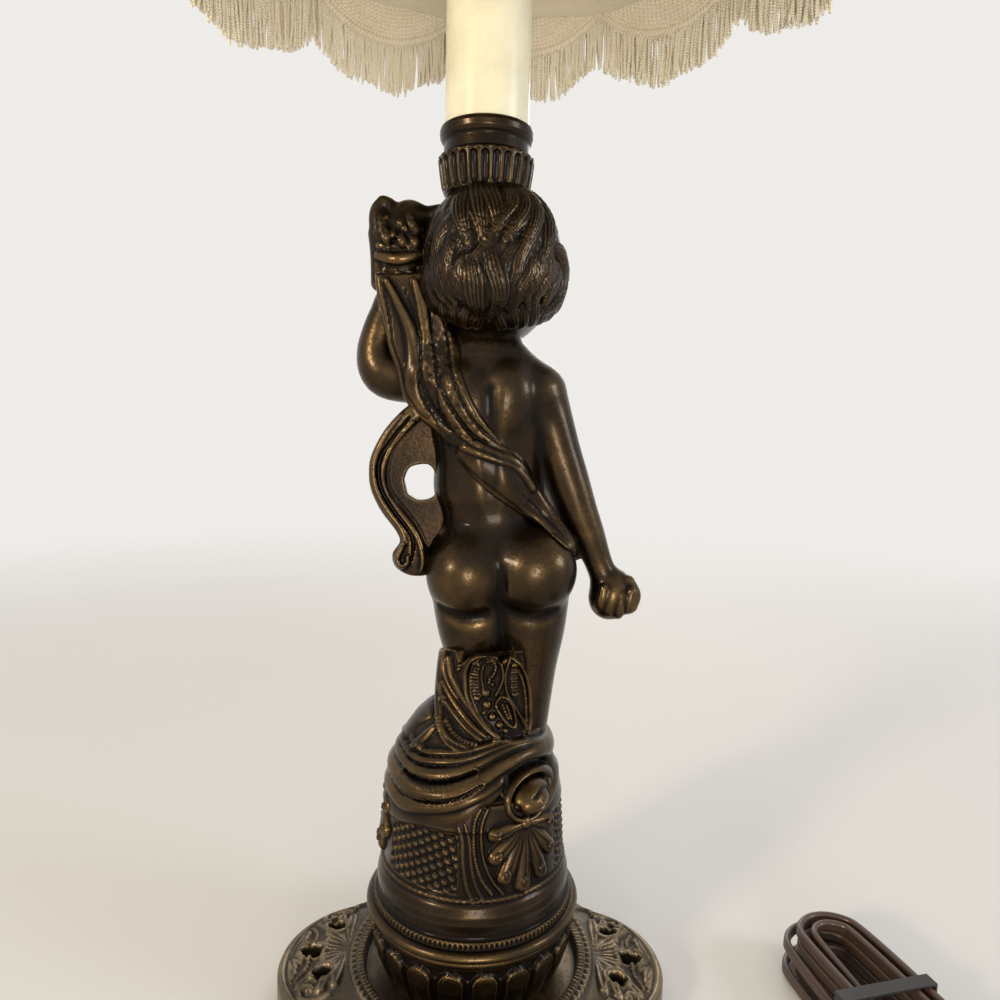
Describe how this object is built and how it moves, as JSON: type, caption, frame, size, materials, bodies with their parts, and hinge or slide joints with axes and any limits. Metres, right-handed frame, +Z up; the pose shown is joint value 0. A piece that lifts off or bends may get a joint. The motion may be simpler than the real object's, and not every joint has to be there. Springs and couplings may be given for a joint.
{
  "type": "figural table lamp",
  "caption": "Table lamp: bronze figure on a gadrooned pedestal and pierced foot, candle sleeve, harp and fringed cloth shade, with its cord folded in a hank.",
  "frame": {"origin": "centre of the foot on the table", "axes": "+Z up along the lamp's stem, -Y towards the side that shows the figure's back, +X to the right of that view"},
  "size_m": [0.389, 0.3236, 0.6913],
  "materials": {
    "antique_bronze": "dark antique bronze, rubbed brighter on the high places, glossy lacquer",
    "foot_bronze": "grey-brown cast bronze, less glossy, relief darkened in the lows",
    "cream_sleeve": "cream candle sleeve with a soft sheen",
    "bright_brass": "lacquered brass",
    "plain_steel": "plated steel",
    "harp_brass": "brass-plated spring wire",
    "phenolic": "dark moulded insulating block",
    "fibre_liner": "pressed card liner",
    "black_knob": "black moulded knob",
    "bulb_glass": "frosted glass",
    "bulb_metal": "plated screw base",
    "shade_cloth": "cream cloth stretched on wire",
    "shade_wire": "cream painted wire",
    "crochet_trim": "cream and gold knitted scalloped trim",
    "silk_fringe": "twisted silky fringe",
    "brown_cord": "dark brown flexible cord",
    "brown_plug": "moulded brown plug",
    "black_bushing": "black bushing"
  },
  "bodies": {
    "lamp": {"foot_casting": "foot_bronze", "gadroon_bowl": "antique_bronze", "plinth_drum": "antique_bronze", "drape_swirl": "antique_bronze", "figure_body": "antique_bronze", "right_arm": "antique_bronze", "left_arm": "antique_bronze", "sash_drapery": "antique_bronze", "ribbon_loop": "antique_bronze", "posy": "antique_bronze", "lamp_pipe": "plain_steel", "pipe_washer": "plain_steel", "pipe_nut": "plain_steel", "candle_cup": "antique_bronze", "candle_sleeve": "cream_sleeve", "check_ring": "bright_brass", "harp_saddle": "harp_brass", "harp_bow": "harp_brass", "socket_cap": "bright_brass", "screw_shell": "bright_brass", "contact_leaf": "bright_brass", "switch_block": "phenolic", "socket_liner": "fibre_liner", "socket_shell": "bright_brass", "cord_bushing": "black_bushing", "cord_run": "brown_cord", "cord_lead": "brown_cord", "cord_hank": "brown_cord", "cord_tie": "black_bushing", "plug_body": "brown_plug", "plug_blades": "bright_brass"},
    "shade": {"shade_frame": "shade_wire", "shade_cover": "shade_cloth", "shade_trim": "crochet_trim", "shade_fringe": "silk_fringe"},
    "finial": {"finial": "antique_bronze"},
    "bulb": {"bulb_glass": "bulb_glass", "bulb_base": "bulb_metal"},
    "switch": {"switch_spindle": "bright_brass", "switch_knob": "black_knob"},
    "ferrule_left": {"harp_ferrule_left": "harp_brass"},
    "ferrule_right": {"harp_ferrule_right": "harp_brass"}
  },
  "joints": [
    {"name": "shade_turn", "type": "hinge", "parent": "lamp", "child": "shade", "pos_m": [0, 0, 0.6589], "axis": [0, 0, 1], "continuous": true},
    {"name": "finial_turn", "type": "hinge", "parent": "lamp", "child": "finial", "pos_m": [0, 0, 0.6589], "axis": [0, 0, 1], "continuous": true},
    {"name": "bulb_turn", "type": "hinge", "parent": "lamp", "child": "bulb", "pos_m": [0, 0, 0.4936], "axis": [0, 0, 1], "continuous": true},
    {"name": "switch_turn", "type": "hinge", "parent": "lamp", "child": "switch", "pos_m": [0, 0.02, 0.4836], "axis": [0, 1, 0], "continuous": true},
    {"name": "ferrule_left_slide", "type": "slide", "parent": "lamp", "child": "ferrule_left", "axis": [0, 0, 1], "range_m": [0, 0.009]},
    {"name": "ferrule_right_slide", "type": "slide", "parent": "lamp", "child": "ferrule_right", "axis": [0, 0, 1], "range_m": [0, 0.009]}
  ]
}
